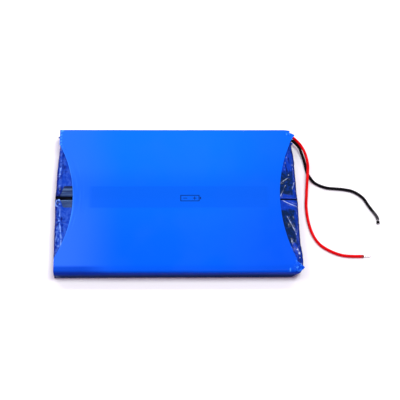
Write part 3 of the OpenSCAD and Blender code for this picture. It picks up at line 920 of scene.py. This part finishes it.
def left_film_mark(x, y, side, seed):
    """Crease number of the plain end films: painted highlight and shade lines along the end, a
    broken pale highlight line, and painted shade at the outer edge and, on the rear film, towards
    the gap.
    """
    near_end = step(-x, 60.0, 63.2)
    line_x = -63.6 + 0.5 * ripple(0, y, 1, 9, seed + 8)
    if side < 0:
        line_x += 0.3 + 0.05 * max(0.0, -y - 5)
    dots = step(ripple(3.1, y, 1, 1.5, seed + 4), -0.25, 0.25)
    mark = hump(x, line_x, 0.27) * (0.25 + 0.75 * dots) * near_end
    mark -= 0.6 * hump(x, line_x + 0.95, 0.38) * near_end
    mark += 0.9 * near_end * crinkle(x * 1.4, y, 1.0, 3.6, seed)
    mark += 0.45 * crinkle(x, y, 2.4, 1.7, seed + 3) - (0.05 if side < 0 else 0.2)
    # Painted shade along the outer edge.
    outer = step(-x, 64.5, 65.3)
    mark = mark * (1 - 0.8 * outer) - 0.45 * outer
    near_gap = 1 - step(abs(y - INNER_EDGES[side][0]), *LINE_STARTS[side])
    mark = mark * (1 - 0.8 * near_gap) + roll_mark(x, y, side)
    # Painted shade on the rear film where it runs down into the gap between the cells.
    if side > 0:
        mark -= 1.2 * (1 - step(y, 2.0, 3.6)) + 0.6 * (1 - step(y, 5.5, 9.0))
    return limited(mark)


def left_film_point(x, y, z, nx, nz, side, seed):
    """Fine wrinkles that run along the end, and the roll round the pouch's corner."""
    near_end = step(-x, 59.5, 63.5)
    out = 0.05 + 0.20 * near_end * crinkle(x * 1.2, y, 1.0, 3.6, seed)
    out += 0.14 * near_end * crinkle(x, y, 2.4, 1.7, seed + 3) + 0.05 * ripple(x, y, 3, 4, seed + 5)
    out += 0.22 * roll_mark(x, y, side) - 0.4 * step(abs(y), 40.8, END_HALF)
    wall = max(0.0, -nx)
    bulge = plain_end_bulge(y) + 0.12 * ripple(y, z, 6, 4, seed + 7)
    nub = 1.9 * hump(y, 41.7, 0.6) * hump(z, 5.2, 0.9)
    x -= step(-x, 60.5, 64.6) * bulge + wall * (0.12 * crinkle(y, z, 3.2, 2.4, seed + 1) + nub)
    keep = 1.0 if nz > 0 else 0.25
    return x, y, z + nz * out * keep


def left_end_film(name, side, seed, stands_for):
    """The rear film of the plain end where side is 1, the front one where it is -1."""
    outer_y = side * END_HALF
    on_top, at_end = INNER_EDGES[side]
    profile = wrap_profile(-48.0, -65.1, 1.3)
    rows = int(abs(outer_y - on_top) / 0.36)
    points, marks = [], []
    for row in range(rows + 1):
        along = row / rows if side > 0 else 1 - row / rows
        for x, z, nx, nz in profile:
            inner = on_top + (at_end - on_top) * step(-x, 61.6, 63.2)
            y = inner + (outer_y - inner) * along
            points.append(left_film_point(x, y, z, nx, nz, side, seed))
            # Points that don't face up are painted darker, half way to the grooves' painted shade.
            marks.append(left_film_mark(x, y, side, seed) if nz > 0 else -0.5)
    faces = [f[::-1] for f in grid_faces(rows + 1, len(profile))]
    mesh_piece(name, points, faces, "end_film_light", stands_for, END_FILM, marks)


# Sharp creases of the lead end's film: (X, Y) to (X, Y), height and width in millimetres.
CREASES = [
    ((57.0, 9.4), (61.2, 12.8), 0.42, 0.42), ((56.6, 1.5), (57.6, 3.6), 0.40, 0.40),
    ((57.6, 3.6), (59.6, 8.4), 0.26, 0.40), ((62.8, 6.3), (64.0, 10.5), 0.34, 0.45),
    ((57.4, -1.4), (65.0, -5.7), 0.50, 0.45), ((61.0, -1.8), (65.2, -3.8), 0.34, 0.40),
    ((59.3, -11.3), (61.4, -16.7), 0.42, 0.45), ((61.4, -16.7), (63.0, -22.4), 0.46, 0.45),
    ((63.0, -22.4), (62.5, -26.5), 0.16, 0.45), ((60.6, -24.6), (61.3, -30.2), 0.36, 0.50),
    ((59.4, -15.4), (59.9, -17.6), 0.30, 0.50), ((62.5, -30.0), (63.6, -34.2), 0.26, 0.40),
    ((59.6, 20.0), (62.6, 31.0), 0.13, 0.60), ((63.4, 14.0), (64.2, 24.0), 0.10, 0.60),
    ((62.0, -11.0), (62.4, -12.4), 0.22, 0.45), ((63.4, -6.5), (64.6, -13.0), 0.2, 0.6),
]


def crease_height(x, y, sharpness=1.0):
    """Height of the creases at a point; a sharpness over 1 gives only their tops."""
    total = 0.0
    for (ax, ay), (bx, by), height, width in CREASES:
        dx, dy = bx - ax, by - ay
        length = math.hypot(dx, dy)
        along = ((x - ax) * dx + (y - ay) * dy) / length
        across = abs((x - ax) * dy - (y - ay) * dx) / length
        if across < 4 * width and -1.5 < along < length + 1.5:
            ends = step(along, -0.8, 0.6) * (1 - step(along, length - 0.6, length + 0.8))
            total += height * ends * math.exp(-(across / width) * sharpness)
    return total


# Small painted glints, bright highlights, on the same film.
FILM_GLINTS = [(63.2, -33.6), (63.3, -36.1), (64.9, -37.3), (63.8, -40.0), (62.6, -31.4), (61.6, 15.0)]


def right_film_mark(x, y):
    """Crease number of the lead end's film: painted highlights on its creases and glints, painted
    shade in its streaks and along its outer edge.
    """
    mark = 2.6 * crease_height(x, y, 2.4) * (0.75 + 0.35 * ripple(x, y, 2.5, 2.0, 19.0))
    mark += (0.45 * crinkle(x, y, 0.8, 6.5, 11.1) - 0.08) * step(abs(y + 2), 14, 24)
    mark += 0.30 * ripple(x, y, 1.0, 1.6, 9.9) - 0.10
    for film_glint_x, film_glint_y in FILM_GLINTS:
        mark += 1.2 * math.exp(-math.hypot(x - film_glint_x, (y - film_glint_y) / 1.5) / 0.22)
    # Painted shade along the outer edge.
    mark -= 1.1 * step(x, 64.0, 64.9)
    return limited(mark)


# Where the foam pads lie below it in Y.
PAD_SPANS = ((2.2, 28.2), (-31.0, -6.2))


def right_film_point(x, y, z, nx, nz):
    """A point of the lead end's film: lifted by its creases, sunk between the pads."""
    near_end = step(x, 54.5, 57)
    pads = max(band(y, low, high, 4.0) for low, high in PAD_SPANS)
    sag = 0.20 * (1 - pads) * near_end
    out = -sag + near_end * (crease_height(x, y) + 0.04 * crinkle(x, y, 2.4, 5.0, 11.1)
                             + 0.05 * ripple(x, y, 2.2, 4.0, 12.2))
    out -= 0.9 * hump(y, SLIT_Y, 0.42) * near_end + 0.3 * step(abs(y), 41.0, END_HALF)
    slope = 0.5 * step(x, 59.0, 65.0) + 0.35 * step(abs(y), 26, 40) * step(x, 58, 64)
    wall = max(0.0, nx)
    bulge = 0.7 + 0.45 * hump(y, -3, 6) + 0.15 * step(-y, 6, 12) + 0.7 * hump(y, -37, 8)
    bulge += 0.18 * ripple(y, z, 7, 5, 13.3)
    bulge *= 1 - step(y, 24, 36)
    x += step(x, 60, 64) * bulge + wall * 0.16 * crinkle(y, z, 3.4, 2.6, 14.4)
    x, y = cut_corner(x, y, z, 0.45)
    if nz > 0:
        return x, y, z + nz * (out - slope * nz)
    return x, y, z - min(0.0, nz) * 0.1


def make_right_film():
    profile = wrap_profile(50.5, 64.9, 1.6)
    ys = spread((-END_HALF, END_HALF, 320))
    points, marks = [], []
    for y in ys:
        points += [right_film_point(x, y, z, nx, nz) for x, z, nx, nz in profile]
        # Points that don't face up are painted darker, half way to the grooves' painted shade.
        marks += [right_film_mark(x, y) if nz > 0 else -0.5 for x, z, nx, nz in profile]

    def over_leads(face):
        row, column = divmod(face[0], len(profile))
        x, z = profile[column][:2]
        return ys[row] > 39.6 and x > 63.0 and 1.5 < z < 6.5

    faces = [face for face in grid_faces(len(ys), len(profile)) if not over_leads(face)]
    mesh_piece("lead_end_film", points, faces, "end_film_dark", "right_end_film", END_FILM, marks)


make_sleeve()
left_end_film("plain_end_film_rear", 1, 21.0, "rear_left_end_film")
left_end_film("plain_end_film_front", -1, 31.0, "front_left_end_film")
make_right_film()


# ---- pouch cups ----

CUP_CENTRE = 22.5
CUP_HALF = 21.05
CUP_LEFT, CUP_RIGHT, CUP_TOP, CUP_LOW = -65.0, 52.5, 8.3, 0.45
CUP_EDGE = 1.1
CUP_CORNER = 3.2
CUP_PILLOW = 0.5
LAMINATE = 0.15
SEAL_HALF, SEAL_TOP, TONGUE_RIGHT, TONGUE_HALF = 21.22, 6.1, 60.0, 20.9
TAB_OFFSET, TAB_SEAL_HALF, TAB_SEAL_RISE = 9.0, 4.6, 0.3


def rounded_plan(half_x, half_y, radius, per_corner, per_side):
    """Points round a rectangle with round corners, about the origin, as (X, Y)."""
    corners = []
    for quarter, (sx, sy) in enumerate(((1, 1), (-1, 1), (-1, -1), (1, -1))):
        angles = [math.radians(90 * (quarter + k / per_corner)) for k in range(per_corner)]
        corners.append([(sx * (half_x - radius) + radius * math.cos(angle),
                         sy * (half_y - radius) + radius * math.sin(angle)) for angle in angles])
    points = []
    for corner, following in zip(corners, corners[1:] + corners[:1]):
        (ax, ay), (bx, by) = corner[-1], following[0]
        points += corner
        points += [(ax + (bx - ax) * k / per_side, ay + (by - ay) * k / per_side)
                   for k in range(1, per_side)]
    return points


def beside_gap(x, y):
    """Moves a point of a cup with the gap, the more the closer to it."""
    return y + gap_shift(x) * (1 - step(abs(y), 2.5, 8))


def cup_seals(centre_y, points, faces):
    """Adds the side seals, folded up beside the cup, and the tongue over the tabs."""
    xs = spread((CUP_LEFT + 0.1, CUP_RIGHT, 60))
    line = [(SEAL_HALF - 0.30, CUP_LOW + 0.15), (SEAL_HALF - 0.12, CUP_LOW + 0.17),
            (SEAL_HALF - 0.03, CUP_LOW + 0.26), (SEAL_HALF, CUP_LOW + 0.45)]
    line += [(SEAL_HALF, z) for z in spread((1.6, SEAL_TOP, 6))]
    for side in (-1, 1):
        start = len(points)
        for y, z in line:
            points += [(x, beside_gap(x, centre_y + side * y), z) for x in xs]
        grid = grid_faces(len(line), len(xs), start=start)
        faces += grid if side > 0 else [f[::-1] for f in grid]
    start = len(points)
    xs = spread((CUP_RIGHT - 0.1, TONGUE_RIGHT, 12))
    ys = spread((-TONGUE_HALF, TONGUE_HALF, 110))
    for y in ys:
        over_tab = max(band(y, tab - TAB_SEAL_HALF, tab + TAB_SEAL_HALF, 0.4)
                       for tab in (-TAB_OFFSET, TAB_OFFSET))
        points += [(x, centre_y + y, CUP_LOW + 0.15 + TAB_SEAL_RISE * over_tab) for x in xs]
    faces += [f[::-1] for f in grid_faces(len(ys), len(xs), start=start)]


def cup_rings():
    """The cup from its foot to the middle of its top, as rings of (inset, Z)."""
    rings = [(0.0, CUP_LOW)]
    rings += [(-CUP_PILLOW * step(z, 5.7, 6.9), z) for z in spread((1.2, CUP_TOP - CUP_EDGE, 12))]
    for k in range(1, 8):
        angle = math.radians(90 * k / 7)
        rings.append((CUP_EDGE * (1 - math.cos(angle)) - CUP_PILLOW,
                      CUP_TOP - CUP_EDGE * (1 - math.sin(angle))))
    return rings + [(inset, CUP_TOP) for inset in (1.4, 2.2, 3.2, 4.6, 6.5, 9.0, 12.0, 15.0, 18.0)]


def cup_point(x, y, z, seed):
    """Draws a cup in at its plain end and wrinkles what shows there."""
    shown = band(y, INNER_EDGES[-1][0], INNER_EDGES[1][0], 1.0)
    fold = 0.12 * crinkle(x, y, 2.2, 1.3, seed) + 0.08 * ripple(x, y, 1.2, 1.0, seed + 1)
    fold += 0.12 * hump(y, 5.3, 0.5) - 0.15 * hump(y, 4.3, 0.35)
    plain_end = 1 - step(x, -63.5, -58)
    rise = plain_end * (shown * fold - 0.2 * (1 - shown)) + 0.05 * ripple(x, y, 18, 14, seed + 2)
    drawn_in = step(-x, 61, 64.5) * (plain_end_bulge(y) - 0.35)
    return x - drawn_in, beside_gap(x, y), z + rise * step(z, 5.5, 8.0)


def make_cup(name, centre_y, seed, stands_for):
    """The deep half of a pouch: a cup with round edges, with its seals."""
    half_x, middle_x = (CUP_RIGHT - CUP_LEFT) / 2, (CUP_RIGHT + CUP_LEFT) / 2
    rings, points = cup_rings(), []
    for inset, z in rings:
        radius = max(0.3, CUP_CORNER - inset * 0.8)
        plan = rounded_plan(half_x - inset, CUP_HALF - inset, radius, 8, 44)
        points += [cup_point(x + middle_x, y + centre_y, z, seed) for x, y in plan]
    faces = grid_faces(len(rings), len(plan), tube=True) + [end_cap(len(rings) - 1, len(plan))]
    cup_seals(centre_y, points, faces)
    mesh_piece(name, points, faces, "pouch_laminate", stands_for, LAMINATE)


make_cup("rear_cup", CUP_CENTRE, 41.0, "rear_pouch_cup")
make_cup("front_cup", -CUP_CENTRE, 51.0, "front_pouch_cup")


# ---- foam ----

def foam_block(low, high, bulge, seed, points, faces):
    """Adds a soft-edged block to points and faces."""
    start = len(points)
    size = [h - l for l, h in zip(low, high)]
    middle = [(l + h) / 2 for l, h in zip(low, high)]
    radius = min(size) * 0.32
    core, flat_inset = size[2] / 2 - radius, size[0] * 0.36
    # Inset, Z and share of the bulge of each ring.
    rings = [(flat_inset, low[2], 1.0)]
    for k in range(7):
        angle = math.radians(-90 + 30 * k)
        rise = radius * math.sin(angle) + core * ((k > 3) - (k < 3))
        rings.append((radius * (1 - math.cos(angle)), middle[2] + rise, 0.4))
    rings.append((flat_inset, high[2], 1.0))
    for inset, z, share in rings:
        corner = max(0.05, min(radius, size[0] / 2 - inset - 0.01))
        plan = rounded_plan(size[0] / 2 - inset, size[1] / 2 - inset, corner, 4, 20)
        for x, y in plan:
            x, y = middle[0] + x, middle[1] + y
            points.append((x, y, z + bulge * ripple(x, y, 3, 5, seed) * share))
    faces += capped_tube(len(rings), len(plan), start)


def make_foam():
    points, faces = [], []
    low, high = node_box("foam_pads")
    for seed, (start_y, end_y) in zip((61.0, 62.0), PAD_SPANS):
        foam_block((low[0], start_y, low[2] + 0.15), (high[0] - 0.1, end_y, high[2] - 0.35), 0.12,
                   seed, points, faces)
    pads = mesh_piece("soft_pads", points, faces, "black_foam", "foam_pads")
    points, faces = [], []
    low, high = node_box("gap_foam_strip")
    foam_block((low[0] - 1.2, low[1], low[2]), (high[0], high[1], high[2] - 0.1), 0.1, 63.0,
               points, faces)
    points = [(x, y + gap_shift(x), z) for x, y, z in points]
    strip = mesh_piece("soft_gap_strip", points, faces, "black_foam", "gap_foam_strip")


make_foam()


# ---- CAD nodes that stay ----

KEPT = {
    "cell_joining_tape": "joining_tape", "protection_board": "board_laminate",
    "board_pads": "copper_land", "mosfets": "chip_body", "protection_ic": "chip_body",
    "chip_resistors": "chip_body", "chip_capacitors": "capacitor_body",
    "positive_strip": "nickel", "negative_strip": "nickel", "series_link_strip": "nickel",
    "insulation_paper": "fish_paper", "solder_joints": "solder", "lead_hold_tape": "amber_tape",
}
CELL_KEPT = {
    "pouch_cover": "pouch_laminate", "cathode_sheets": "cathode_coating",
    "anode_sheets": "anode_copper", "separator": "separator_film", "stack_tapes": "stack_tape",
    "positive_tab": "tab_aluminium", "negative_tab": "nickel", "tab_sealants": "sealant",
}
for cell in ("rear_", "front_"):
    KEPT.update({cell + part: slot for part, slot in CELL_KEPT.items()})
for node_name, slot_name in KEPT.items():
    dress(NODES[node_name], slot_name)


# ---- floor and light ----

FLOOR_HALF = 3.0
FLOOR_HEIGHT = -0.00005
FLOOR_SHADES = (0.955, 0.965, 0.955), (0.97, 0.98, 0.97)


def finish_floor(tree, shader):
    vector, _ = place(tree)
    paint(tree, shader, blend(tree, grain(tree, vector, 40), *FLOOR_SHADES))
    set_gloss(shader, 0.9, specular=0.1)


def make_floor():
    data = bpy.data.meshes.new("floor")
    corners = [(-1, -1), (1, -1), (1, 1), (-1, 1)]
    data.from_pydata([(FLOOR_HALF * x, FLOOR_HALF * y, FLOOR_HEIGHT) for x, y in corners], [],
                     [(0, 1, 2, 3)])
    floor = new_object("floor", data)
    data.materials.append(surface("floor_paper", finish_floor))


# Softboxes, all aimed at the origin: name, place, width, height, power in watts and colour.
SOFTBOXES = [
    ("key", (0.34, 0.10, 1.22), 0.50, 0.50, 9.6, (0.98, 1.02, 0.98)),
    ("left", (-0.62, 0.0, 1.05), 0.50, 0.50, 2.8, (0.98, 1.02, 0.98)),
    ("rear_left", (-0.67, 0.60, 0.80), 0.09, 0.09, 1.9, (1.0, 1.0, 1.0)),
    ("rear_right", (0.67, 0.60, 0.80), 0.09, 0.09, 1.9, (1.0, 1.0, 1.0)),
    ("back", (-0.35, 1.15, 0.85), 0.80, 0.50, 5.0, (1.0, 0.99, 1.0)),
]
WORLD_COLOUR = (1.0, 0.70, 1.08)
WORLD_STRENGTH = 0.37


def make_lights():
    for name, at, width, height, power, colour in SOFTBOXES:
        data = bpy.data.lights.new(name, "AREA")
        data.shape = "RECTANGLE"
        data.size, data.size_y = width, height
        data.energy = power
        data.color = colour
        lamp = new_object(name, data)
        lamp.location = at
        lamp.rotation_euler = (-Vector(at)).to_track_quat("-Z", "Y").to_euler()


def make_world():
    world = bpy.data.worlds.new("studio")
    bpy.context.scene.world = world
    world.use_nodes = True
    sky = world.node_tree.nodes["Background"]
    sky.inputs["Color"].default_value = (*WORLD_COLOUR, 1)
    sky.inputs["Strength"].default_value = WORLD_STRENGTH
    bpy.context.scene.view_settings.view_transform = "Standard"


make_floor()
make_lights()
make_world()
